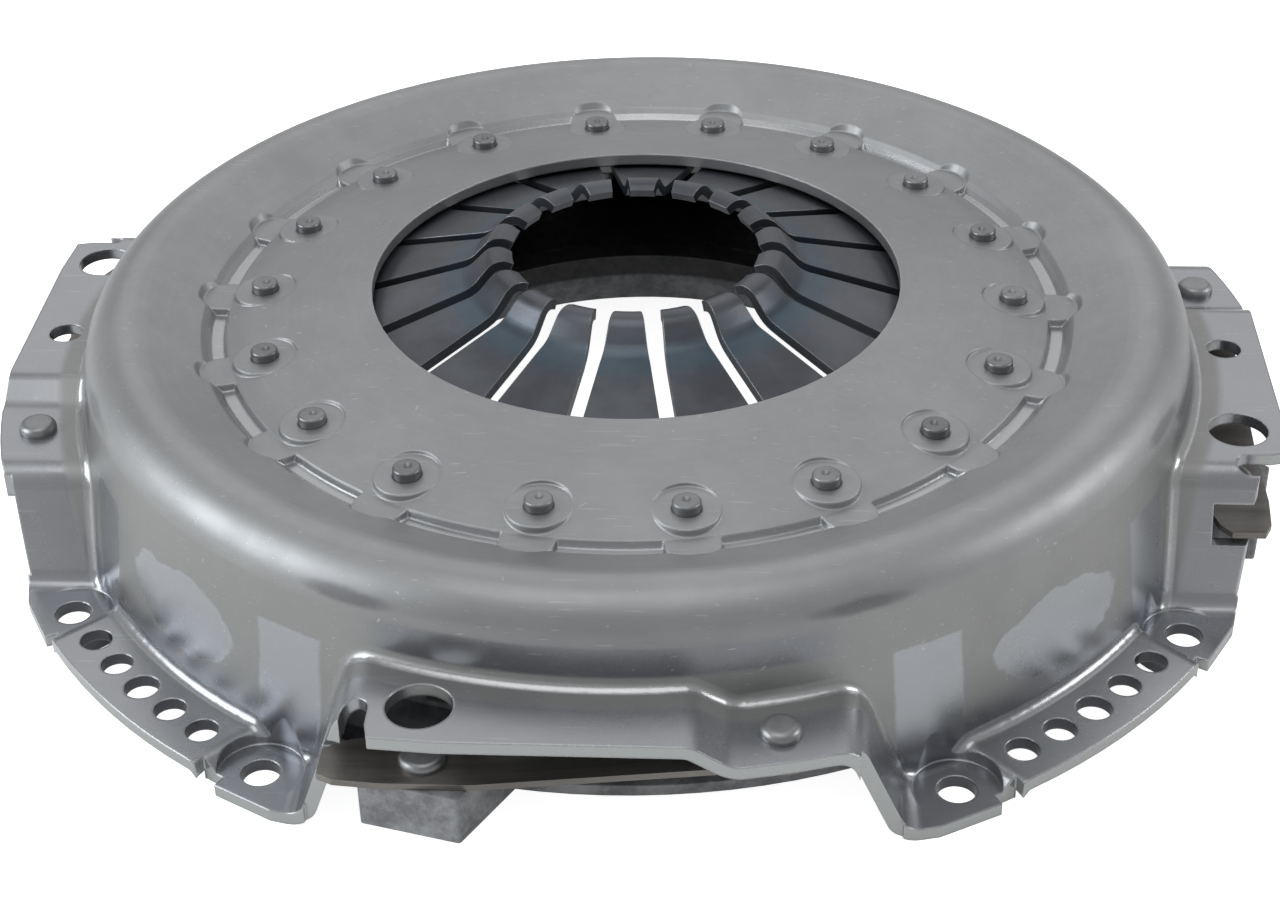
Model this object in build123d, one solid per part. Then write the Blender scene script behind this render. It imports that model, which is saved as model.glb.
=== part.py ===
from build123d import *
import math
import os

os.makedirs("parts", exist_ok=True)

# Millimetres, +Z towards the gearbox. The origin lies on the shaft axis, in the plane of the
# mounting pads. Angles are measured from -Y towards +X.

# ---------------------------------------------------------------- repeats
SECTORS = 4
FINGERS = 18
PITCH = 360 / FINGERS
LEAVES = 3

# ---------------------------------------------------------------- cover stamping
SHEET = 3.5
OPENING_R = 76.0
OPENING_Z = 62.6
BROW_R = 112.5
BROW_Z = 55.18
VALLEY_R = 121.0
VALLEY_Z = 52.85
OUTER_CONE = 23.5
CREST_R = 145.5
CREST_Z = 62.4
SHOULDER_R = 13.0
WALL_FLARE = 8.0
BEAD_R = 3.0

GROOVE_Z = 51.6
GROOVE_R0, GROOVE_R1 = 118.2, 125.4
GROOVE_FLOOR_R0, GROOVE_FLOOR_R1 = 119.2, 122.4
BEAD_SPAN = 15.6
PIVOT_Z = GROOVE_Z - SHEET

TAB_Z = 53.6
TAB_FLARE = 14.0
TAB_CORNER = 6.0
TAB_WIDTH = 14.2
TAB_END_R = 126.9
SPOT_Z = 56.2
SPOT_D = 17.6
SPOT_TILT = 4.0
SPOT_FLARE = 20.0
SEAT_D = 14.2

# ---------------------------------------------------------------- mounting flange
PCD = 350.0
PCD_R = PCD / 2
LOW_CENTRE = 45.0
PAD_OFFSET = 15.0
PAD_HOLE_D = 10.0
PAD_TURN = 29.4
PAD_EDGE = 184.8
PAD_WIDTH = 17.8
PAD_RECESS_R = 11.3
SEGMENT_TOP = 7.6
SEGMENT_HALF = 10.8
SEGMENT_R = 184.9
SEGMENT_TOP_X, SEGMENT_FOOT_X = 34.2, 38.4
SEGMENT_BENDS = [4.5, 5, 5, 4.5]
SEGMENT = [(-SEGMENT_FOOT_X, SHEET), (-SEGMENT_TOP_X, SEGMENT_TOP),
           (SEGMENT_TOP_X, SEGMENT_TOP), (SEGMENT_FOOT_X, SHEET)]
NECK_R = 181.6
RAMP_R = 182.3
SMALL_HOLE_D = 8.6
DOWEL_HOLE_D = 9.3
SMALL_HOLE_STEP = 4.2

RAISED_TOP = 40.4
STEP_TOP = 34.5
STRIP_BENDS = [6, 8, 8, 8, 9, 6]
STRIP = [(-75.0, SHEET), (-62.0, RAISED_TOP), (22.5, RAISED_TOP), (32.0, STEP_TOP),
         (62.5, STEP_TOP), (74.5, SHEET)]
RAISED_EDGE_Y = 181.0
RAISED_R = 184.2
SERVICE_HOLE_D = 16.4
SERVICE_X, SERVICE_Y = -42.6, -168.1
MARK_HOLE_D = 10.0
MARK_HOLE_R = 170.0
NOTCH_X0, NOTCH_X1 = -61.8, -54.8
NOTCH_Y = -165.5
STRAP_WINDOW_TOP = 31.0

# ---------------------------------------------------------------- straps
STRAP_Y = -168.0
STRAP_WIDTH = 18.0
LEAF = 0.58
LEAF_PITCH = 0.60
STRAP_TAIL_X = -68.0
STRAP_HEAD_X = 53.0
STRAP_BEND_X0, STRAP_BEND_X1 = -31.0, 32.0
COVER_RIVET_X = 43.4
LUG_RIVET_X = -42.8
RIVET_D = 6.0
RIVET_HEAD_D = 10.5
RIVET_HEAD_H = 2.9
LUG_HEAD_D = 12.0
LUG_HEAD_H = 2.3
SEAT_GAP = LEAF_PITCH - LEAF
STRAP_HIGH = STEP_TOP - SHEET - SEAT_GAP
LUG_TOP = 21.8
STRAP_LOW = LUG_TOP + LEAVES * LEAF_PITCH

# ---------------------------------------------------------------- spring and its fulcrum
SPRING_T = 3.0
TIP_R, TIP_Z = 35.3, 71.3
HUMP_R, HUMP_Z = 40.6, 74.0
HEEL_R, HEEL_Z = 48.1, 65.95
KNEE_R, KNEE_Z = 84.0, 55.4
SPRING_R = 152.0
PIVOT_R = 121.5
PIVOT_GAP = 0.04
SLOT_W = 4.4
SLOT_TIP_W = 5.6
SLOT_END_R = 101.0
WINDOW_R0, WINDOW_R1 = 100.0, 117.0
WINDOW_W = 13.0

BOLT_R = 108.56
BOLT_D = 7.6
BOLT_END_Z = 58.8
SPACER_D = 9.0
HEAD_D = 14.0
HEAD_H = 3.5
RING_T = 2.5
RING_R0, RING_R1 = 102.0, 122.5
RING_Z = 42.9

# ---------------------------------------------------------------- pressure plate
FACE_Z = 4.9
FACE_R0, FACE_R1 = 86.0, 158.5
RIM_TOP = 8.1
BODY_R = 153.5
BODY_TOP = 20.5
BORE_R = 82.0
BORE_Z = 13.6
HUB_TOP = 22.7
RIDGE_R0, RIDGE_R1 = 144.5, 151.0
RIDGE_GAP = 0.3
RIDGE_BREAKS = 12
LUG_TURN = -14.5
LUG_R = 183.0
LUG_WIDTH = 26.0
LUG_ROOT_WIDTH = 40.0
LUG_ROOT_R = 157.0
LUG_BOTTOM = 8.0
LUG_BORE_D = 13.4
LUG_BORE_H = 3.2


def polar(r, angle):
    """Point in plan at radius r and an angle from the front."""
    return (r * math.sin(math.radians(angle)), -r * math.cos(math.radians(angle)))


def ring_of(shape, count, start=0.0):
    """Copies of a shape evenly turned about the shaft axis."""
    return [Rot(0, 0, start + 360 / count * k) * shape for k in range(count)]


def wedge(r, start, end):
    """Flat slice of a disc between two angles."""
    arc = ThreePointArc(polar(r, start), polar(r, (start + end) / 2), polar(r, end))
    return make_face(Line((0, 0), polar(r, start)) + arc + Line(polar(r, end), (0, 0)))


def under(path, floor, inner=None):
    """Face under an open profile, closed down to a floor; inner closes it to an axis."""
    first, last = path @ 0, path @ 1
    left = first.X if inner is None else inner
    sides = Line(path @ 1, (last.X, floor)) + Line((last.X, floor), (left, floor))
    if inner is None:
        return make_face(path + sides + Line((left, floor), path @ 0))
    corner = Line((left, floor), (left, first.Y)) + Line((left, first.Y), path @ 0)
    return make_face(path + sides + corner)


def revolved(face):
    """Solid of revolution about the shaft from a face drawn as (radius, height)."""
    return revolve(Plane.XZ * face, Axis.Z)


def drum(r, bottom, top):
    """Plain cylinder on the shaft axis between two heights."""
    return Pos(0, 0, (bottom + top) / 2) * Cylinder(r, top - bottom)


def peg(x, y, d, bottom, top):
    """Upright cylinder between two heights."""
    return Pos(x, y, (bottom + top) / 2) * Cylinder(d / 2, top - bottom)


def block(x0, x1, y0, y1, z0, z1):
    """Box given by its limits."""
    centre = ((x0 + x1) / 2, (y0 + y1) / 2, (z0 + z1) / 2)
    return Pos(*centre) * Box(x1 - x0, y1 - y0, z1 - z0)


def cone_peg(x, y, d_bottom, d_top, bottom, top):
    """Upright tapered pin between two heights."""
    return Pos(x, y, (bottom + top) / 2) * Cone(d_bottom / 2, d_top / 2, top - bottom)


# ================================================================ cover
flare = math.tan(math.radians(WALL_FLARE))
rise = math.tan(math.radians(OUTER_CONE))
wall_start_r = CREST_R + SHOULDER_R * math.cos(math.radians(WALL_FLARE))
wall_start_z = CREST_Z - SHOULDER_R * (1 - math.sin(math.radians(WALL_FLARE)))
wall_foot_r = wall_start_r + flare * wall_start_z
# the shoulder vertex is where the outer cone meets the wall line
vertex_r = (wall_foot_r - flare * (VALLEY_Z - rise * VALLEY_R)) / (1 + flare * rise)
vertex_z = VALLEY_Z + rise * (vertex_r - VALLEY_R)


def dome_path(shift):
    """Top surface of the dome, or its underside when shifted by the sheet thickness."""
    slope = (OPENING_Z - BROW_Z) / (BROW_R - OPENING_R)
    path = FilletPolyline((OPENING_R - 6, OPENING_Z + 6 * slope), (BROW_R, BROW_Z),
                          (VALLEY_R, VALLEY_Z), (vertex_r, vertex_z),
                          (wall_foot_r + 12 * flare, -12), radius=[20, 5, SHOULDER_R])
    return path if shift == 0 else offset(path, amount=shift, side=Side.RIGHT, closed=False)


def raised_block(points, bends, reach, shift):
    """Everything under a raised part of the flange, or under its lower face, with flats at its ends."""
    left, right = points[0], points[-1]
    path = FilletPolyline((left[0] - reach, SHEET), *points, (right[0] + reach, SHEET), radius=bends)
    if shift:
        path = offset(path, amount=shift, side=Side.RIGHT, closed=False)
    face = Plane.XZ * under(path, -20)
    return Pos(0, -90, 0) * extrude(face, 130)


def strip_block(shift):
    """Everything under the raised flange in one sector."""
    limit = extrude(wedge(260, -LOW_CENTRE, LOW_CENTRE), 200)
    return raised_block(STRIP, STRIP_BENDS, 80, shift) & (Pos(0, 0, -100) * limit)


def segment_block(shift):
    """Everything under the low raised segment between two pads."""
    return Rot(0, 0, LOW_CENTRE) * raised_block(SEGMENT, SEGMENT_BENDS, 4, shift)


def flange_outline():
    """Plan shape of the mounting flange."""
    edge = -math.sqrt(RAISED_R ** 2 - STRIP[4][0] ** 2)
    corner_x = math.sqrt(RAISED_R ** 2 - RAISED_EDGE_Y ** 2)
    mid_x = (corner_x + STRIP[4][0]) / 2
    mid_y = -math.sqrt(RAISED_R ** 2 - mid_x ** 2)
    line = Polyline((STRIP[4][0], edge), (STRIP[4][0], -130), (NOTCH_X1, -130),
                    (NOTCH_X1, -175.2), (NOTCH_X1 + 1.1, -179.9), (-37.7, -RAISED_EDGE_Y - 0.1),
                    (corner_x, -RAISED_EDGE_Y))
    arc = ThreePointArc((corner_x, -RAISED_EDGE_Y), (mid_x, mid_y), (STRIP[4][0], edge))
    raised = make_face(line + arc)
    side = PAD_WIDTH / 2
    pad = make_face(Polyline((-side, -140), (-side, -PAD_EDGE), (side, -PAD_EDGE),
                             (side + 9, -RAMP_R), (side + 9, -140), close=True))
    shape = Circle(NECK_R)
    for turn in range(SECTORS):
        spin = Rot(0, 0, 90 * turn)
        cut = wedge(NECK_R + 9, -17.4, 19.8) - wedge(150, -30, 30)
        shape -= spin * cut
        shape += spin * raised
        shape += spin * wedge(RAMP_R, -27, -17.3)
        shape += spin * wedge(RAMP_R, 19.7, 27)
        shape += spin * (Rot(0, 0, PAD_TURN) * mirror(pad, Plane.YZ))
        shape += spin * (Rot(0, 0, -PAD_TURN) * pad)
        shape += spin * wedge(SEGMENT_R, LOW_CENTRE - SEGMENT_HALF, LOW_CENTRE + SEGMENT_HALF)
    return shape


def with_flange(dome, shift):
    """Dome solid joined to everything under the flange surface in all four sectors."""
    for quarter in range(SECTORS):
        spin = Rot(0, 0, 90 * quarter)
        dome += spin * strip_block(shift)
        dome += spin * segment_block(shift)
    return dome


def foot_edges(solid):
    """Edges where the wall of the dome meets the flange."""
    found = []
    for edge in solid.edges():
        points = [edge @ (0.1 + 0.2 * k) for k in range(5)]
        miss = [abs(math.hypot(p.X, p.Y) - wall_foot_r + flare * p.Z) for p in points]
        if max(miss) < 0.02 and -1 < points[2].Z < RAISED_TOP + 1 and edge.length > 0.05:
            found.append(edge)
    return found


def ring_sector(r0, r1, half):
    """Flat arc-shaped band centred on the front."""
    outer_arc = ThreePointArc(polar(r1, -half), polar(r1, 0), polar(r1, half))
    inner_arc = ThreePointArc(polar(r0, half), polar(r0, 0), polar(r0, -half))
    sides = Line(polar(r1, half), polar(r0, half)) + Line(polar(r0, -half), polar(r1, -half))
    return make_face(outer_arc + inner_arc + sides)


# groove pressed into the valley; the beads under it are the upper fulcrum of the spring
wall_top = VALLEY_Z + 6
inner_rim_z = VALLEY_Z + (VALLEY_R - GROOVE_R0) * (BROW_Z - VALLEY_Z) / (VALLEY_R - BROW_R)
outer_rim_z = VALLEY_Z + (GROOVE_R1 - VALLEY_R) * rise
inner_lean = (GROOVE_FLOOR_R0 - GROOVE_R0) / (inner_rim_z - GROOVE_Z)
outer_lean = (GROOVE_R1 - GROOVE_FLOOR_R1) / (outer_rim_z - GROOVE_Z)
groove_face = make_face(Polyline((GROOVE_FLOOR_R0, GROOVE_Z), (GROOVE_FLOOR_R1, GROOVE_Z),
                                 (GROOVE_FLOOR_R1 + outer_lean * (wall_top - GROOVE_Z), wall_top),
                                 (GROOVE_FLOOR_R0 - inner_lean * (wall_top - GROOVE_Z), wall_top),
                                 close=True))
bead_face = make_face(Polyline((PIVOT_R, PIVOT_Z), (PIVOT_R + 1.7, PIVOT_Z), (PIVOT_R + 3.2, PIVOT_Z + 0.4),
                               (PIVOT_R + 8, PIVOT_Z + 8), (PIVOT_R + 8, PIVOT_Z + 14),
                               (PIVOT_R - 6, PIVOT_Z + 14), (PIVOT_R - 6, PIVOT_Z + 2.9),
                               (PIVOT_R - 2.6, PIVOT_Z + 0.8), close=True))
bead = Rot(0, 0, -90 - BEAD_SPAN / 2) * revolve(Plane.XZ * bead_face, Axis.Z, BEAD_SPAN)

# tilted flats for the spacer bolts, each with a lobe that interrupts the groove
lobe_start = VALLEY_R - (TAB_Z - VALLEY_Z) * (VALLEY_R - BROW_R) / (BROW_Z - VALLEY_Z)
lobe_length = TAB_END_R - lobe_start + TAB_CORNER
lobe_plan = Pos(0, lobe_length / 2 - TAB_END_R) * RectangleRounded(TAB_WIDTH, lobe_length, TAB_CORNER)
lobe_fill = Pos(0, 0, TAB_Z) * mirror(extrude(lobe_plan, 10, taper=-TAB_FLARE), Plane.XY)
lobe_cut = Pos(0, 0, TAB_Z) * extrude(lobe_plan, 5, taper=-2 * TAB_FLARE)
lobe_cut = lobe_cut & block(-20, 20, -TAB_END_R - 10, -lobe_start, TAB_Z, TAB_Z + 5)
spot_place = Pos(0, -BOLT_R, SPOT_Z) * Rot(SPOT_TILT, 0, 0)
spot_base_r = SPOT_D / 2 + 4 * math.tan(math.radians(SPOT_FLARE))
spot_top_r = SPOT_D / 2 + 5 * math.tan(math.radians(SPOT_FLARE))
spot_fill = spot_place * (Pos(0, 0, -2) * Cone(spot_base_r, SPOT_D / 2, 4))
spot_cut = spot_place * (Pos(0, 0, 2.5) * Cone(SPOT_D / 2, spot_top_r, 5))
seat_z = SPOT_Z - SHEET
seat_void = peg(0, -BOLT_R, SEAT_D, seat_z - 12, seat_z)
seat_keep = peg(0, -BOLT_R, SEAT_D, seat_z, seat_z + 12)

half = PITCH / 2
outer = revolved(under(dome_path(0), -20, inner=0)) - revolved(groove_face)
outer = outer + ring_of(lobe_fill, FINGERS, half)
outer = outer - ring_of(lobe_cut, FINGERS, half)
outer = outer + ring_of(spot_fill, FINGERS, half) - ring_of(spot_cut, FINGERS, half)
outer = with_flange(outer, 0) & (Pos(0, 0, -10) * extrude(flange_outline(), 100))
outer = fillet(foot_edges(outer), BEAD_R)
inner = revolved(under(dome_path(SHEET), -20, inner=0))
inner = inner + ring_of(seat_void, FINGERS, half)
inner = inner - ring_of(seat_keep, FINGERS, half)
inner = inner - ring_of(bead, FINGERS)
inner = with_flange(inner, SHEET)

# round recesses that clear the mounting screws
pad_angles = [LOW_CENTRE + 90 * k + side for k in range(SECTORS) for side in (-PAD_OFFSET, PAD_OFFSET)]
pad_points = [polar(PCD_R, angle) for angle in pad_angles]
outer = outer - [peg(x, y, 2 * PAD_RECESS_R, SHEET, 30) for x, y in pad_points]
inner = inner - [peg(x, y, 2 * (PAD_RECESS_R + SHEET), 0, 30) for x, y in pad_points]

cover = outer - inner

# openings
holes = [drum(OPENING_R, 0, 100)]
holes += [peg(x, y, PAD_HOLE_D, -1, 10) for x, y in pad_points]
for quarter in range(SECTORS):
    centre = LOW_CENTRE + 90 * quarter
    for step in (-2, -1, 0, 1, 2):
        size = DOWEL_HOLE_D if step == 0 else SMALL_HOLE_D
        x, y = polar(PCD_R, centre + step * SMALL_HOLE_STEP)
        holes.append(peg(x, y, size, -1, 12))
    spin = Rot(0, 0, 90 * quarter)
    holes.append(spin * peg(SERVICE_X, SERVICE_Y, SERVICE_HOLE_D, 30, 50))
    holes.append(spin * peg(COVER_RIVET_X, STRAP_Y, RIVET_D + 0.2, 25, 45))
    if quarter:
        holes.append(spin * peg(0, -MARK_HOLE_R, MARK_HOLE_D, 30, 50))
    slot_x = (NOTCH_X0 + NOTCH_X1) / 2
    slot_r = (NOTCH_X1 - NOTCH_X0) / 2
    slot = block(NOTCH_X0, NOTCH_X1, -200, NOTCH_Y - slot_r, 21, 50)
    slot += peg(slot_x, NOTCH_Y - slot_r, 2 * slot_r, 21, 50)
    slot += block(-78, slot_x, -200, STRAP_Y + STRAP_WIDTH / 2 - 0.5, 20, STRAP_WINDOW_TOP)
    holes.append(spin * slot)
holes += ring_of(peg(0, -BOLT_R, BOLT_D + 0.2, 45, 62), FINGERS, half)
cover = cover - holes

export_step(cover, "parts/cover.step")

# ================================================================ diaphragm spring
cone_slope = (KNEE_Z - PIVOT_Z + PIVOT_GAP) / (PIVOT_R - KNEE_R)
spring_top = FilletPolyline((TIP_R, TIP_Z), (HUMP_R, HUMP_Z), (HEEL_R, HEEL_Z), (KNEE_R, KNEE_Z),
                            (SPRING_R, KNEE_Z - (SPRING_R - KNEE_R) * cone_slope), radius=[5.5, 8, 40])
spring = revolved(make_face(offset(spring_top, amount=SPRING_T, side=Side.RIGHT)))
slot_plan = make_face(Polyline((-SLOT_TIP_W / 2, -TIP_R + 3), (SLOT_TIP_W / 2, -TIP_R + 3),
                               (SLOT_W / 2, -HEEL_R - 4), (SLOT_W / 2, -SLOT_END_R),
                               (-SLOT_W / 2, -SLOT_END_R), (-SLOT_W / 2, -HEEL_R - 4), close=True))
window_plan = Pos(0, -(WINDOW_R0 + WINDOW_R1) / 2) * RectangleRounded(WINDOW_W, WINDOW_R1 - WINDOW_R0, 4)
finger_gap = Pos(0, 0, 20) * extrude(slot_plan + window_plan, 80)
spring = spring - ring_of(finger_gap, FINGERS, half)
export_step(spring, "parts/diaphragm_spring.step")


def spring_under(r):
    """Height of the underside of the spring cone at radius r."""
    drop = SPRING_T / math.cos(math.atan(cone_slope))
    return KNEE_Z - (r - KNEE_R) * cone_slope - drop


# lower fulcrum: a dished ring carried on the heads of the spacer bolts
touch_z = spring_under(PIVOT_R) - PIVOT_GAP
ring_face = make_face(Polyline((RING_R0, RING_Z), (PIVOT_R - 4.5, RING_Z), (RING_R1 - 0.4, RING_Z - 0.6),
                               (RING_R1, touch_z - 0.9), (RING_R1 - 0.4, touch_z - 0.2),
                               (PIVOT_R, touch_z), (PIVOT_R - 5, RING_Z + RING_T),
                               (RING_R0, RING_Z + RING_T), close=True))
support_ring = revolved(ring_face) - ring_of(peg(0, -BOLT_R, SPACER_D + 0.4, 30, 60), FINGERS, half)
export_step(support_ring, "parts/support_ring.step")

bolt = peg(0, -BOLT_R, BOLT_D, seat_z, BOLT_END_Z)
bolt = fillet(bolt.edges().group_by(Axis.Z)[-1], 0.8)
bolt = bolt - cone_peg(0, 0.5 - BOLT_R, 0.6, 2.6, BOLT_END_Z - 0.6, BOLT_END_Z)
bolt = bolt + peg(0, -BOLT_R, SPACER_D, RING_Z, seat_z)
head = peg(0, -BOLT_R, HEAD_D, RING_Z - HEAD_H, RING_Z)
bolt = bolt + chamfer(head.edges().group_by(Axis.Z)[0], 0.8)
export_step(Compound(children=ring_of(bolt, FINGERS, half)), "parts/spacer_bolts.step")

# ================================================================ pressure plate
ridge_mid = (RIDGE_R0 + RIDGE_R1) / 2
ridge_top = spring_under(ridge_mid) - RIDGE_GAP
ridge_side = ridge_top - 2.6
section = Polyline((FACE_R0, FACE_Z), (FACE_R1, FACE_Z), (FACE_R1, RIM_TOP), (BODY_R, RIM_TOP + 1),
                   (BODY_R, BODY_TOP - 2), (RIDGE_R1 + 0.8, BODY_TOP), (RIDGE_R1, ridge_side))
section += ThreePointArc((RIDGE_R1, ridge_side), (ridge_mid, ridge_top), (RIDGE_R0, ridge_side))
section += Polyline((RIDGE_R0, ridge_side), (RIDGE_R0 - 1.5, BODY_TOP + 1), (BORE_R + 12, BODY_TOP + 1),
                    (BORE_R + 8, HUB_TOP), (BORE_R, HUB_TOP), (BORE_R, BORE_Z), (FACE_R0, FACE_Z))
plate = revolved(make_face(section))
gap_r0, gap_r1 = RIDGE_R0 - 4, RIDGE_R1 + 6
ridge_gap = block(-6, 6, -gap_r1, -gap_r0, BODY_TOP + 2.5, ridge_top + 5)
plate = plate - ring_of(ridge_gap, RIDGE_BREAKS, 15)
lug_plan = make_face(Polyline((-LUG_ROOT_WIDTH / 2, -LUG_ROOT_R + 8), (-LUG_ROOT_WIDTH / 2, -LUG_ROOT_R),
                              (-LUG_WIDTH / 2, -LUG_R), (LUG_WIDTH / 2, -LUG_R),
                              (LUG_ROOT_WIDTH / 2, -LUG_ROOT_R), (LUG_ROOT_WIDTH / 2, -LUG_ROOT_R + 8),
                              close=True))
lug_plan = fillet([v for v in lug_plan.vertices() if v.Y < -LUG_ROOT_R - 1], 1)
lug = Rot(0, 0, LUG_TURN) * (Pos(0, 0, LUG_BOTTOM) * extrude(lug_plan, LUG_TOP - LUG_BOTTOM))
plate = plate + ring_of(lug, SECTORS)
lug_bore = peg(LUG_RIVET_X, STRAP_Y, RIVET_D + 0.2, 0, 40)
lug_bore += peg(LUG_RIVET_X, STRAP_Y, LUG_BORE_D, LUG_BOTTOM - 5, LUG_BOTTOM + LUG_BORE_H)
plate = plate - ring_of(lug_bore, SECTORS)
export_step(plate, "parts/pressure_plate.step")

# ================================================================ straps and rivets
SECTOR_NAMES = ["front", "right", "back", "left"]
LEAF_NAMES = ["top", "middle", "bottom"]
side_y = STRAP_WIDTH / 2
tail_x = STRAP_TAIL_X
head_x = STRAP_HEAD_X - side_y
strap_plan = make_face(Polyline((head_x, STRAP_Y + side_y), (tail_x + 15, STRAP_Y + side_y),
                                (tail_x + 4, STRAP_Y + side_y - 3), (tail_x, STRAP_Y + 3),
                                (tail_x, STRAP_Y - 6), (tail_x + 4, STRAP_Y - side_y + 1),
                                (tail_x + 15, STRAP_Y - side_y), (head_x, STRAP_Y - side_y))
                       + ThreePointArc((head_x, STRAP_Y - side_y), (STRAP_HEAD_X, STRAP_Y),
                                       (head_x, STRAP_Y + side_y)))
strap_limit = extrude(strap_plan, 60)


def strap_line(drop):
    """Top line of the strap stack, lowered by a given amount."""
    return FilletPolyline((tail_x - 1, STRAP_LOW - drop), (STRAP_BEND_X0, STRAP_LOW - drop),
                          (STRAP_BEND_X1, STRAP_HIGH - drop), (STRAP_HEAD_X + 1, STRAP_HIGH - drop),
                          radius=30)


def leaf(number):
    """One strap leaf in the front sector, counted from the top."""
    drop = number * LEAF_PITCH
    top, bottom = strap_line(drop), strap_line(drop + LEAF)
    face = make_face(top + Line(top @ 1, bottom @ 1) + bottom + Line(bottom @ 0, top @ 0))
    strip = Pos(0, STRAP_Y, 0) * extrude(Plane.XZ * face, side_y + 2, both=True)
    strip = strip & strap_limit
    for x in (LUG_RIVET_X, COVER_RIVET_X):
        strip = strip - peg(x, STRAP_Y, RIVET_D + 0.2, 0, 60)
    return strip


def rivet(x, shank_low, shank_high, head_d, head_h, foot_d, foot_h):
    """Rivet with a rounded head above and a flatter foot below."""
    top = peg(x, STRAP_Y, head_d, shank_high, shank_high + head_h)
    top = fillet(top.edges().group_by(Axis.Z)[-1], min(head_h, head_d / 2) * 0.75)
    foot = peg(x, STRAP_Y, foot_d, shank_low - foot_h, shank_low)
    foot = fillet(foot.edges().group_by(Axis.Z)[0], foot_h * 0.4)
    return top + peg(x, STRAP_Y, RIVET_D, shank_low, shank_high) + foot


strap_bottom = STRAP_HIGH - (LEAVES - 1) * LEAF_PITCH - LEAF
cover_rivet = rivet(COVER_RIVET_X, strap_bottom, STEP_TOP, RIVET_HEAD_D, RIVET_HEAD_H, 10, 2.6)
lug_rivet = rivet(LUG_RIVET_X, LUG_BOTTOM + LUG_BORE_H, STRAP_LOW, LUG_HEAD_D, LUG_HEAD_H,
                  LUG_BORE_D - 1, 2.4)
leaves = [leaf(number) for number in range(LEAVES)]
for quarter, name in enumerate(SECTOR_NAMES):
    spin = Rot(0, 0, 90 * quarter)
    for number, level in enumerate(LEAF_NAMES):
        export_step(spin * leaves[number], f"parts/strap_{name}_{level}.step")
    export_step(spin * cover_rivet, f"parts/cover_rivet_{name}.step")
    export_step(spin * lug_rivet, f"parts/lug_rivet_{name}.step")
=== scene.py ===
import math

import bpy
from mathutils import Matrix, Vector


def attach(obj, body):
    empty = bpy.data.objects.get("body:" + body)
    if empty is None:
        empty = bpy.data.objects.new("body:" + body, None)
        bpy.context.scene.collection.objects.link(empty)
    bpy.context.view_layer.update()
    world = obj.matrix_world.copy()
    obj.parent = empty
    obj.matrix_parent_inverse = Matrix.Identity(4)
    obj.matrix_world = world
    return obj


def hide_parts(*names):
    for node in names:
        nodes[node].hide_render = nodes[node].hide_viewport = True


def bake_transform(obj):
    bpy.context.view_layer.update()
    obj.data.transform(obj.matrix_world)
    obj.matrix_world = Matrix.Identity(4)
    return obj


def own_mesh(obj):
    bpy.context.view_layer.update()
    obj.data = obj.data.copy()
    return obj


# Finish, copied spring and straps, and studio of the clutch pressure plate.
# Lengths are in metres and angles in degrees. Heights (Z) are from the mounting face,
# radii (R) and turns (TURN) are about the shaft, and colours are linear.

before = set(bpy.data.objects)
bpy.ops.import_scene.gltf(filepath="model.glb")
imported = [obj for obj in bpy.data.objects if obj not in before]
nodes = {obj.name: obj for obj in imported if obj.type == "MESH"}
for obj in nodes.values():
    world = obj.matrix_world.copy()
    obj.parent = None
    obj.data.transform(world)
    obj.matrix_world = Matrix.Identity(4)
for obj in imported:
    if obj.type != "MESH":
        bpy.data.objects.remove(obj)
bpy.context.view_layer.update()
bpy.context.scene.view_settings.view_transform = "Standard"

SECTORS = ["front", "right", "back", "left"]
LEVELS = ["top", "middle", "bottom"]
FULL_TURN = 360
QUARTER = 90
# edges that turn by more than this stay sharp in the shading
SHARP_ANGLE = 28

# ------------------------------------------------------------------ finish of the cover, with painted light and shade
# A pair is where a soft step starts and where it ends. RAGGED is how far noise moves a
# border, and SOFT half the width of its fade.
SIDE_R = (0.1535, 0.1560)
WALL_Z = (0.056, 0.050)
FLANGE_Z = (0.0455, 0.0415)
FLANGE_R = (0.166, 0.169)
# the wall cone: radius at the mounting face, and how much it narrows with height
WALL_FOOT = 0.16557
WALL_SLOPE = 0.1405
# upright strips that the press rubbed, measured from the middle of a low segment
STRIP_TURN = (11.8, 18.8)
STRIP_SOFT = 0.25
STRIP_RAGGED = 0.5
STRIP_Z = (0.0405, 0.0395)
STRIP_Z_RAGGED = 0.001
# rubbed oval in the middle, as half width, height of its centre and half height
OVAL_REACH = 8.0
OVAL_Z = 0.0265
OVAL_TALL = 0.0115
OVAL_RIM = (1.03, 0.97)
OVAL_RAGGED = 0.35
# painted shade and dark reflection: the darkened bottom of the wall, and the darkened wall over the
# raised strips
FOOT_Z = (0.021, 0.009)
FOOT_RAGGED = 0.0008
FOOT_R = (0.1675, 0.1660)
OVER_Z = (0.0540, 0.0490)
OVER_RAGGED = 0.0015
OVER_TURN = (22, 26)
OVER_FOOT_Z = (0.0425, 0.0440)
# painted highlight along the bend where the flange leaves the wall, measured outwards from the wall
# cone
FOLD_OUT = (0.0006, 0.0024)
FOLD_SOFT = 0.0004
# painted highlights on the floors of the grooves, and the lighter crest of the outer cone
GROOVE_R = (0.1178, 0.1258)
GROOVE_SOFT = 0.0004
GROOVE_Z = (0.0534, 0.0530)
CREST_R = (0.1435, 0.1480)
CREST_SOFT = 0.0012
# scratches: direction and seed of each set
SCRATCHES = ((20, 1.0), (75, 4.0), (140, 8.0))
SCRATCH_ALONG = 45
SCRATCH_ACROSS = 1300
SCRATCH_CUT = (0.70, 0.76)
SPECK_CUT = (0.76, 0.79)
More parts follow.
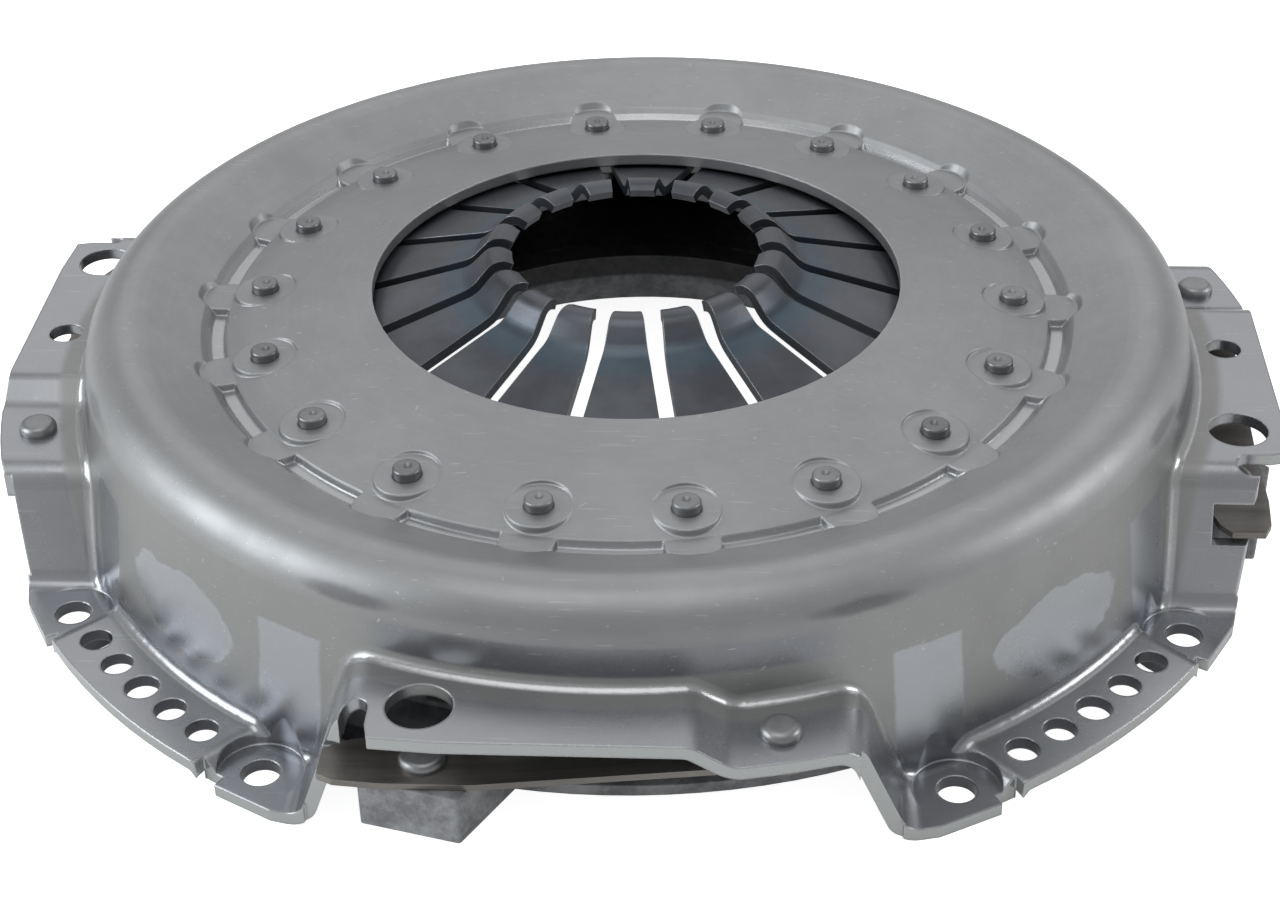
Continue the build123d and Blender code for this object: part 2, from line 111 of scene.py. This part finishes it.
# painted shade in the hollows over the ends of each raised strip: place, half width and half height
HOLLOW_TURN = 21.5
HOLLOW_REACH = 4.5
HOLLOW_Z = 0.0548
HOLLOW_TALL = 0.0019
HOLLOW_RIM = (1.3, 0.5)
HOLLOW_RAGGED = 0.6
HOLLOW_R = (0.148, 0.151)
# walls of the holes in the low segments and in the pads, which get painted shade, and the sheared
# outer edge
UPRIGHT = (0.28, 0.18)
SEGMENT_TURN = (10.7, 10.3)
SEGMENT_Z = (0.0085, 0.0078)
PAD_Z = (0.0037, 0.0034)
HOLES_R = (0.1690, 0.1806)
HOLES_SOFT = 0.0004
SHEARED_R = (0.1797, 0.1803)
# cells of the drawing marks: outwards, round the shaft and upwards
DRAWN_CELLS = (700, 5, 400)
# colours of the plain sheet, then how strongly and to which colour each mask tints it
TOP_DARK = (0.270, 0.275, 0.280)
TOP_LIGHT = (0.330, 0.335, 0.340)
DRAWN_CUT, DRAWN_AMOUNT, DRAWN_GREY = (0.35, 0.8), (0, 0.10), (0.42, 0.42, 0.43)
MOTTLE_CUT, MOTTLE_AMOUNT, MOTTLE_GREY = (0.35, 0.75), (0, 0.25), (0.24, 0.245, 0.25)
WALL_TINT = 0.8, (0.270, 0.272, 0.268)
RUB_TINT = 0.55, (0.360, 0.380, 0.412)
# painted shade and dark reflection at the bottom of the wall and over the raised strips
FOOT_SHADE_TINT = 0.62, (0.150, 0.160, 0.185)
# painted reflection of the pale floor on the flange
FLANGE_REFLECTION_TINT = 0.8, (0.335, 0.345, 0.368)
# painted highlights on the bends and on the groove floors
FOLD_HIGHLIGHT_TINT = 0.5, (0.54, 0.55, 0.57)
GROOVE_HIGHLIGHT_TINT = 0.35, (0.54, 0.55, 0.57)
CREST_TINT = 0.12, (0.45, 0.45, 0.46)
SCRATCH_TINT = 0.35, (0.55, 0.55, 0.55)
SPECK_TINT = 0.45, (0.50, 0.50, 0.50)
# painted shade in the hollows
HOLLOW_SHADE_TINT = 0.55, (0.10, 0.10, 0.11)
# painted shade on the walls of the holes
HOLE_SHADE_TINT = 0.85, (0.055, 0.058, 0.065)
SHEARED_TINT = 0.75, (0.36, 0.375, 0.365)
COVER_WEAR = 0.40, (0.62, 0.62, 0.64)
COVER_EDGE = 0.0009
COVER_METAL = 0.8
COVER_ROUGH = (0.42, 0.49)
SLEEK_ROUGH = -0.20
POLISH_CUT, POLISH_ROUGH = (0.2, 0.8), (0.6, 0.24)
COVER_GRAIN = 0.3
COVER_BUMP = 0.00008

# ------------------------------------------------------------------ finish of the rest, with painted shade
# low and high value of a noise between which a colour or a roughness changes
SPREAD = (0.3, 0.7)
ROUGH_JITTER = (-0.02, 0.03)
BUMP_STRENGTH = 0.5
FINE_BUMP = 0.00005
SPRING_SPREAD = (0.35, 0.65)
SPRING_DARK = (0.058, 0.062, 0.072)
SPRING_LIGHT = (0.098, 0.104, 0.118)
HEAT_R = (0.047, 0.056)
HEAT_SOFT = 0.004
HEAT_TINT = 0.45, (0.040, 0.090, 0.125)
SPRING_WEAR = 0.5, (0.30, 0.31, 0.33)
SPRING_EDGE = 0.0006
SPRING_METAL = 0.7
SPRING_ROUGH = (0.29, 0.37)
CAST_SPREAD = (0.32, 0.68)
CAST_DARK = (0.150, 0.155, 0.163)
CAST_LIGHT = (0.350, 0.360, 0.375)
# painted shade: the casting is darkened where it lies beneath the cover
UNDER_Z = (0.0150, 0.0165)
UNDER_R = (0.150, 0.147)
UNDER_SHADE_TINT = 0.85, (0.02, 0.02, 0.022)
CAST_WEAR = 0.4, (0.34, 0.34, 0.35)
CAST_WEAR_EDGE = 0.0012
CAST_EDGE = 0.0008
CAST_METAL = 0.35
CAST_ROUGH = (0.42, 0.66)
CAST_BUMP = 0.0006
CAST_STRENGTH = 0.6
# small steel pieces: worn edges are this much lighter, and rough by this much more or less
EDGE_LIFT = 1.9
EDGE_AMOUNT = 0.5
PLAIN_ROUGH_SPAN = 0.1
PLAIN_JITTER = (-0.03, 0.05)

# ------------------------------------------------------------------ camera and studio
FOCAL_PX = 2462.9
PHOTO_WIDTH = 1280
SENSOR_WIDTH = 36.0
CLIP_START = 0.01
PITCH = 33.886
YAW = -3.832
ROLL = -1.203
EYE = (0.0414, -0.6165, 0.4167)
FLOOR_SIZE = 8
FLOOR_GREY = (0.80, 0.80, 0.80, 1)
# brightness of the floor to the camera and in reflections, and of the studio round it
FLOOR_WHITE = 0.9
FLOOR_SHINE = 0.30
WORLD_LIGHT = 0.48


# ------------------------------------------------------------------ shader helpers
class Shade:
    """Builds one procedural material."""

    SEED_SHIFT = (1.0, 0.7, 1.3)
    BEVEL_SAMPLES = 6
    # cosine between the true and the rounded normal where wear starts and is full
    WEAR_CUT = (0.98, 0.84)
    # sockets of the colour mix: the two colours in, and the colour out
    MIX_A, MIX_B, MIX_OUT = 6, 7, 2

    def __init__(self, name):
        self.mat = bpy.data.materials.new(name)
        self.mat.use_nodes = True
        self.tree = self.mat.node_tree
        self.tree.nodes.clear()
        self.out = self.new("ShaderNodeOutputMaterial")
        self.bsdf = self.new("ShaderNodeBsdfPrincipled")
        self.link(self.bsdf.outputs[0], self.out.inputs[0])
        self.normal = self.new("ShaderNodeNewGeometry").outputs["Normal"]
        self.coords = self.new("ShaderNodeTexCoord").outputs["Object"]

    def new(self, kind, **values):
        node = self.tree.nodes.new(kind)
        for key, value in values.items():
            setattr(node, key, value)
        return node

    def link(self, a, b):
        self.tree.links.new(a, b)

    def put(self, socket, value):
        """Link an output to a socket, or set the socket to a constant."""
        if isinstance(value, bpy.types.NodeSocket):
            self.link(value, socket)
        else:
            socket.default_value = value

    def math(self, op, *values):
        node = self.new("ShaderNodeMath", operation=op)
        for socket, value in zip(node.inputs, values):
            self.put(socket, value)
        return node.outputs[0]

    def product(self, a, b):
        return self.math("MULTIPLY", a, b)

    def larger(self, a, b):
        return self.math("MAXIMUM", a, b)

    def moved(self, value, noise, amount):
        """A value moved by an amount of noise."""
        return self.math("MULTIPLY_ADD", noise, amount, value)

    def length(self, a, b):
        squares = self.math("ADD", self.product(a, a), self.product(b, b))
        return self.math("SQRT", squares)

    def ramp(self, value, low, high, start=0.0, end=1.0):
        """Smooth step from start, at low, to end, at high."""
        node = self.new("ShaderNodeMapRange", interpolation_type="SMOOTHSTEP")
        names = ("Value", "From Min", "From Max", "To Min", "To Max")
        for key, setting in zip(names, (value, low, high, start, end)):
            self.put(node.inputs[key], setting)
        return node.outputs[0]

    def band(self, value, low, high, soft):
        """One between two values, with soft ends."""
        rise = self.ramp(value, low - soft, low + soft)
        fall = self.ramp(value, high - soft, high + soft, 1, 0)
        return self.product(rise, fall)

    def mapped(self, source, scale, seed, turn=0.0):
        """Coordinates turned about the shaft, stretched and shifted by a seed."""
        node = self.new("ShaderNodeMapping")
        self.link(source, node.inputs["Vector"])
        node.inputs["Rotation"].default_value = (0, 0, math.radians(turn))
        node.inputs["Scale"].default_value = scale
        node.inputs["Location"].default_value = [seed * step for step in self.SEED_SHIFT]
        return node.outputs[0]

    def noise(self, scale, detail, rough, coords=None, stretch=None, seed=0.0):
        node = self.new("ShaderNodeTexNoise")
        node.inputs["Scale"].default_value = scale
        node.inputs["Detail"].default_value = detail
        node.inputs["Roughness"].default_value = rough
        source = coords or self.coords
        if stretch or seed:
            source = self.mapped(source, stretch or (1, 1, 1), seed)
        self.link(source, node.inputs["Vector"])
        return node.outputs["Fac"]

    def mix(self, factor, a, b):
        """Mix of two colours, each a tuple or an output."""
        node = self.new("ShaderNodeMix", data_type="RGBA")
        self.put(node.inputs[0], factor)
        for socket, value in ((self.MIX_A, a), (self.MIX_B, b)):
            self.put(node.inputs[socket], (*value, 1.0) if isinstance(value, tuple) else value)
        return node.outputs[self.MIX_OUT]

    def tint(self, colour, mask, amount, target):
        """Colour moved towards a target where a mask is set."""
        return self.mix(self.product(mask, amount), colour, target)

    def polar(self):
        """Radius about the shaft, angle from the front towards +X in radians, height."""
        x, y, z = self.parts(self.coords)
        angle = self.math("ARCTAN2", x, self.product(y, -1.0))
        return self.length(x, y), angle, z

    def parts(self, vector):
        node = self.new("ShaderNodeSeparateXYZ")
        self.link(vector, node.inputs[0])
        return node.outputs

    def vector(self, x, y, z):
        node = self.new("ShaderNodeCombineXYZ")
        for socket, value in zip(node.inputs, (x, y, z)):
            self.put(socket, value)
        return node.outputs[0]

    def rounded(self, radius):
        """Normal with the edges rounded."""
        node = self.new("ShaderNodeBevel", samples=self.BEVEL_SAMPLES)
        node.inputs["Radius"].default_value = radius
        return node.outputs[0]

    def wear(self, radius):
        """Mask of sharp edges, where the rounded normal leaves the true one."""
        node = self.new("ShaderNodeVectorMath", operation="DOT_PRODUCT")
        self.link(self.rounded(radius), node.inputs[0])
        self.link(self.normal, node.inputs[1])
        return self.ramp(node.outputs["Value"], *self.WEAR_CUT)

    def streaks(self, turn, seed):
        """Thin scratches: noise drawn out along one direction, cut at a level."""
        scale = (SCRATCH_ALONG, SCRATCH_ACROSS, SCRATCH_ACROSS)
        coords = self.mapped(self.coords, scale, seed, turn)
        return self.ramp(self.noise(1.0, detail=2, rough=0.5, coords=coords), *SCRATCH_CUT)

    def finish(self, colour, metal, rough, height, distance, strength, edge):
        """Join colour, roughness and bump, with edges rounded, and give the material."""
        node = self.new("ShaderNodeBump")
        node.inputs["Strength"].default_value = strength
        node.inputs["Distance"].default_value = distance
        self.link(height, node.inputs["Height"])
        self.link(self.rounded(edge), node.inputs["Normal"])
        self.link(colour, self.bsdf.inputs["Base Color"])
        self.link(rough, self.bsdf.inputs["Roughness"])
        self.link(node.outputs[0], self.bsdf.inputs["Normal"])
        self.bsdf.inputs["Metallic"].default_value = metal
        return self.mat


def ellipse(s, x, y, noise, amount, rim):
    """Soft mask inside a ragged ellipse; x and y are distances over its half sizes."""
    return s.ramp(s.moved(s.length(x, y), noise, amount), *rim)


def sheet_steel():
    s = Shade("pressed_steel")
    r, angle, z = s.polar()
    cloud = s.noise(11, detail=5, rough=0.6)
    mottle = s.noise(75, detail=5, rough=0.7)
    grain = s.noise(1100, detail=3, rough=0.7)
    # noise that moves the borders of the patches, from -1 to 1
    ragged = s.math("MULTIPLY_ADD", s.noise(60, detail=3, rough=0.6, seed=2.0), 2.0, -1.0)
    cells = s.vector(*(s.product(value, count) for value, count in zip((r, angle, z), DRAWN_CELLS)))
    drawn = s.noise(1.0, detail=3, rough=0.6, coords=cells)
    # angle from the middle of the nearest low flange segment
    turned = s.math("MULTIPLY_ADD", angle, math.degrees(1), FULL_TURN)
    beside = s.math("SUBTRACT", s.math("MODULO", turned, QUARTER), QUARTER / 2)
    apart = s.math("ABSOLUTE", beside)

    side = s.ramp(r, *SIDE_R)
    wall = s.product(side, s.ramp(z, *WALL_Z))
    flange = s.product(s.ramp(z, *FLANGE_Z), s.ramp(r, *FLANGE_R))
    colour = s.mix(s.ramp(cloud, *SPREAD), TOP_DARK, TOP_LIGHT)
    colour = s.mix(s.ramp(drawn, *DRAWN_CUT, *DRAWN_AMOUNT), colour, DRAWN_GREY)
    colour = s.mix(s.ramp(mottle, *MOTTLE_CUT, *MOTTLE_AMOUNT), colour, MOTTLE_GREY)
    colour = s.tint(colour, wall, *WALL_TINT)

    # smooth bluish places where the press rubbed the wall
    strip = s.product(s.band(s.moved(apart, ragged, STRIP_RAGGED), *STRIP_TURN, STRIP_SOFT),
                      s.ramp(s.moved(z, ragged, STRIP_Z_RAGGED), *STRIP_Z))
    across = s.math("DIVIDE", beside, OVAL_REACH)
    up = s.math("DIVIDE", s.math("SUBTRACT", z, OVAL_Z), OVAL_TALL)
    oval = ellipse(s, across, up, ragged, OVAL_RAGGED, OVAL_RIM)
    rub = s.product(wall, s.larger(strip, oval))
    colour = s.tint(colour, rub, *RUB_TINT)

    # painted shade and dark reflection darken the bottom of the wall and the wall over the raised
    # strips
    painted_foot_shade = s.product(wall, s.ramp(s.moved(z, ragged, FOOT_RAGGED), *FOOT_Z))
    painted_foot_shade = s.product(painted_foot_shade, s.ramp(r, *FOOT_R))
    over = s.product(s.ramp(s.moved(z, ragged, OVER_RAGGED), *OVER_Z), s.ramp(apart, *OVER_TURN))
    over = s.product(over, s.product(side, s.ramp(z, *OVER_FOOT_Z)))
    painted_foot_shade = s.larger(painted_foot_shade, over)
    colour = s.tint(colour, painted_foot_shade, *FOOT_SHADE_TINT)
    # painted reflection: the flange is tinted lighter and bluer, as the pale floor mirrored in it
    colour = s.tint(colour, flange, *FLANGE_REFLECTION_TINT)

    # painted highlights on the bends and the groove floors, the lighter crest, then scratches and
    # specks
    cone = s.math("MULTIPLY_ADD", z, WALL_SLOPE, r)
    fold_highlight = s.band(cone, *(WALL_FOOT + out for out in FOLD_OUT), FOLD_SOFT)
    colour = s.tint(colour, fold_highlight, *FOLD_HIGHLIGHT_TINT)
    groove_highlight = s.product(s.band(r, *GROOVE_R, GROOVE_SOFT), s.ramp(z, *GROOVE_Z))
    colour = s.tint(colour, groove_highlight, *GROOVE_HIGHLIGHT_TINT)
    colour = s.tint(colour, s.band(r, *CREST_R, CREST_SOFT), *CREST_TINT)
    for turn, seed in SCRATCHES:
        colour = s.tint(colour, s.streaks(turn, seed), *SCRATCH_TINT)
    specks = s.ramp(s.noise(520, detail=1, rough=0.5, seed=5.0), *SPECK_CUT)
    colour = s.tint(colour, specks, *SPECK_TINT)

    # painted shade in the hollows over the ends of the raised strips
    across = s.math("DIVIDE", s.math("SUBTRACT", apart, HOLLOW_TURN), HOLLOW_REACH)
    up = s.math("DIVIDE", s.math("SUBTRACT", z, HOLLOW_Z), HOLLOW_TALL)
    hollow_shade = ellipse(s, across, up, ragged, HOLLOW_RAGGED, HOLLOW_RIM)
    hollow_shade = s.product(hollow_shade, s.ramp(r, *HOLLOW_R))
    colour = s.tint(colour, hollow_shade, *HOLLOW_SHADE_TINT)

    # painted shade on the walls of the small holes, and the lighter sheared outer edge
    upright = s.ramp(s.math("ABSOLUTE", s.parts(s.normal)[2]), *UPRIGHT)
    segment = s.product(s.ramp(apart, *SEGMENT_TURN), s.ramp(z, *SEGMENT_Z))
    holes = s.product(s.band(r, *HOLES_R, HOLES_SOFT), s.larger(segment, s.ramp(z, *PAD_Z)))
    colour = s.tint(colour, s.product(upright, holes), *HOLE_SHADE_TINT)
    colour = s.tint(colour, s.product(upright, s.ramp(r, *SHEARED_R)), *SHEARED_TINT)
    colour = s.tint(colour, s.wear(COVER_EDGE), *COVER_WEAR)

    sleek = s.larger(s.larger(rub, painted_foot_shade), flange)
    rough = s.math("ADD", s.ramp(cloud, *SPREAD, *COVER_ROUGH), s.ramp(mottle, *SPREAD, *ROUGH_JITTER))
    rough = s.moved(rough, sleek, SLEEK_ROUGH)
    polish = s.ramp(s.larger(fold_highlight, groove_highlight), *POLISH_CUT, *POLISH_ROUGH)
    rough = s.math("MINIMUM", rough, polish)
    # the sleek places have no fine grain
    dull = s.math("SUBTRACT", 1.0, sleek)
    height = s.moved(mottle, s.product(grain, dull), COVER_GRAIN)
    return s.finish(colour, COVER_METAL, rough, height, COVER_BUMP, BUMP_STRENGTH, COVER_EDGE)


def spring_steel():
    s = Shade("spring_steel")
    r = s.polar()[0]
    cloud = s.noise(30, detail=4, rough=0.6)
    grain = s.noise(900, detail=3, rough=0.6)
    colour = s.mix(s.ramp(cloud, *SPRING_SPREAD), SPRING_DARK, SPRING_LIGHT)
    colour = s.tint(colour, s.band(r, *HEAT_R, HEAT_SOFT), *HEAT_TINT)
    colour = s.tint(colour, s.wear(SPRING_EDGE), *SPRING_WEAR)
    rough = s.math("ADD", s.ramp(cloud, *SPREAD, *SPRING_ROUGH), s.ramp(grain, *SPREAD, *ROUGH_JITTER))
    return s.finish(colour, SPRING_METAL, rough, grain, FINE_BUMP, BUMP_STRENGTH, SPRING_EDGE)


def cast_iron():
    s = Shade("cast_iron")
    r, _, z = s.polar()
    grain = s.noise(480, detail=5, rough=0.7)
    cloud = s.noise(90, detail=6, rough=0.75)
    colour = s.mix(s.ramp(cloud, *CAST_SPREAD), CAST_DARK, CAST_LIGHT)
    # painted shade where the casting lies beneath the cover
    under_shade = s.product(s.ramp(z, *UNDER_Z), s.ramp(r, *UNDER_R))
    colour = s.tint(colour, under_shade, *UNDER_SHADE_TINT)
    colour = s.tint(colour, s.wear(CAST_WEAR_EDGE), *CAST_WEAR)
    rough = s.ramp(grain, *SPREAD, *CAST_ROUGH)
    return s.finish(colour, CAST_METAL, rough, grain, CAST_BUMP, CAST_STRENGTH, CAST_EDGE)


def plain_steel(name, dark, light, rough, metal=0.85, edge=0.0005, stretch=None):
    """Steel of a small piece, between two colours, with worn edges."""
    s = Shade(name)
    cloud = s.noise(60, detail=4, rough=0.6, stretch=stretch)
    grain = s.noise(800, detail=2, rough=0.6)
    worn = tuple(min(1.0, EDGE_LIFT * value) for value in light)
    colour = s.mix(s.ramp(cloud, *SPREAD), dark, light)
    colour = s.tint(colour, s.wear(edge), EDGE_AMOUNT, worn)
    shine = s.math("ADD", s.ramp(cloud, *SPREAD, rough, rough + PLAIN_ROUGH_SPAN),
                   s.ramp(grain, *SPREAD, *PLAIN_JITTER))
    return s.finish(colour, metal, shine, grain, FINE_BUMP, BUMP_STRENGTH, edge)


mats = {
    "cover": sheet_steel(),
    "diaphragm_spring": spring_steel(),
    "pressure_plate": cast_iron(),
    "support_ring": plain_steel("ring_steel", dark=(0.22, 0.22, 0.23), light=(0.30, 0.30, 0.31),
                                rough=0.35),
    "spacer_bolts": plain_steel("bolt_steel", dark=(0.16, 0.165, 0.17), light=(0.25, 0.255, 0.26),
                                rough=0.30),
}
strap_mat = plain_steel("strap_steel", dark=(0.130, 0.122, 0.113), light=(0.215, 0.203, 0.190),
                        rough=0.30, metal=0.7, edge=0.0002, stretch=(0.3, 3, 1))
rivet_mat = plain_steel("rivet_steel", dark=(0.20, 0.205, 0.21), light=(0.29, 0.295, 0.30),
                        rough=0.30)
for name, obj in nodes.items():
    mat = mats.get(name) or (strap_mat if name.startswith("strap") else rivet_mat)
    obj.data.materials.clear()
    obj.data.materials.append(mat)
    obj.data.shade_smooth()
    obj.data.set_sharp_from_angle(angle=math.radians(SHARP_ANGLE))


# ------------------------------------------------------------------ separate copies of the spring and the straps
def copy_of(node, name):
    """A separate piece with the same shape as a CAD node."""
    piece = nodes[node].copy()
    piece.data = nodes[node].data.copy()
    piece.name = name
    piece.data.name = name
    piece.parent = None
    piece.matrix_world = nodes[node].matrix_world.copy()
    bpy.context.scene.collection.objects.link(piece)
    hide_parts(node)
    return piece


spring = copy_of("diaphragm_spring", "spring_piece")
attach(spring, "cover_body")
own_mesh(spring)
# each leaf is a separate copy of its strap, which runs from its high end, at the cover rivet, to its
# low end, at the lug rivet
for quarter, sector in enumerate(SECTORS):
    for level in LEVELS:
        leaf = copy_of(f"strap_{sector}_{level}", f"leaf_{sector}_{level}")
        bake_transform(leaf)

# ------------------------------------------------------------------ camera
pitch, yaw, roll = (math.radians(angle) for angle in (PITCH, YAW, ROLL))
ahead = Vector((math.sin(yaw) * math.cos(pitch), math.cos(yaw) * math.cos(pitch), -math.sin(pitch)))
level_x = Vector((math.cos(yaw), -math.sin(yaw), 0))
level_y = level_x.cross(ahead)
camera_x = math.cos(roll) * level_x + math.sin(roll) * level_y
camera_y = -math.sin(roll) * level_x + math.cos(roll) * level_y
lens = bpy.data.cameras.new("camera")
lens.sensor_fit = "HORIZONTAL"
lens.sensor_width = SENSOR_WIDTH
lens.lens = FOCAL_PX / PHOTO_WIDTH * SENSOR_WIDTH
lens.clip_start = CLIP_START
camera = bpy.data.objects.new("camera", lens)
axes = Matrix((camera_x, camera_y, -ahead)).transposed()
camera.matrix_world = Matrix.Translation(Vector(EYE)) @ axes.to_4x4()
bpy.context.scene.collection.objects.link(camera)
bpy.context.scene.camera = camera

# ------------------------------------------------------------------ floor, world and lamps
bpy.ops.mesh.primitive_plane_add(size=FLOOR_SIZE, location=(0, 0, 0))
floor = bpy.context.object
floor.name = "floor"
pale = Shade("pale_floor")
pale.tree.nodes.remove(pale.bsdf)
diffuse = pale.new("ShaderNodeBsdfDiffuse")
diffuse.inputs["Color"].default_value = FLOOR_GREY
# the floor glows pale to the camera, and more dimly in metal that mirrors it
path = pale.new("ShaderNodeLightPath")
mirrored = pale.larger(path.outputs["Is Glossy Ray"], path.outputs["Is Transmission Ray"])
glow = pale.new("ShaderNodeEmission")
pale.link(pale.math("ADD", pale.product(path.outputs["Is Camera Ray"], FLOOR_WHITE),
                    pale.product(mirrored, FLOOR_SHINE)), glow.inputs["Strength"])
both = pale.new("ShaderNodeAddShader")
pale.link(diffuse.outputs[0], both.inputs[0])
pale.link(glow.outputs[0], both.inputs[1])
pale.link(both.outputs[0], pale.out.inputs[0])
floor.data.materials.append(pale.mat)

world = bpy.data.worlds.new("studio")
bpy.context.scene.world = world
world.use_nodes = True
tree = world.node_tree
tree.nodes.clear()
out = tree.nodes.new("ShaderNodeOutputWorld")
back = tree.nodes.new("ShaderNodeBackground")
back.inputs["Color"].default_value = (1, 1, 1, 1)
back.inputs["Strength"].default_value = WORLD_LIGHT
tree.links.new(back.outputs[0], out.inputs[0])


def area(name, place, target, size, power, size_y=None, colour=(1, 1, 1)):
    """Rectangular lamp that faces a target; power in watts."""
    lamp = bpy.data.lights.new(name, "AREA")
    lamp.shape = "RECTANGLE"
    lamp.size = size
    lamp.size_y = size_y or size
    lamp.energy = power
    lamp.color = colour
    obj = bpy.data.objects.new(name, lamp)
    obj.location = place
    direction = Vector(target) - Vector(place)
    obj.rotation_euler = direction.to_track_quat("-Z", "Y").to_euler()
    bpy.context.scene.collection.objects.link(obj)


area("back", place=(0.0, 1.3, 1.2), target=(0, 0, 0.04), size=2.2, size_y=1.3, power=5.0)
area("top", place=(-0.1, -0.2, 1.5), target=(0, 0, 0.04), size=1.0, power=4.6)
area("left", place=(-1.3, -0.3, 0.7), target=(0, 0, 0.03), size=0.9, power=12.5,
     colour=(0.93, 0.97, 1.0))
area("right", place=(1.3, 0.1, 0.7), target=(0, 0, 0.03), size=0.5, power=4.4)
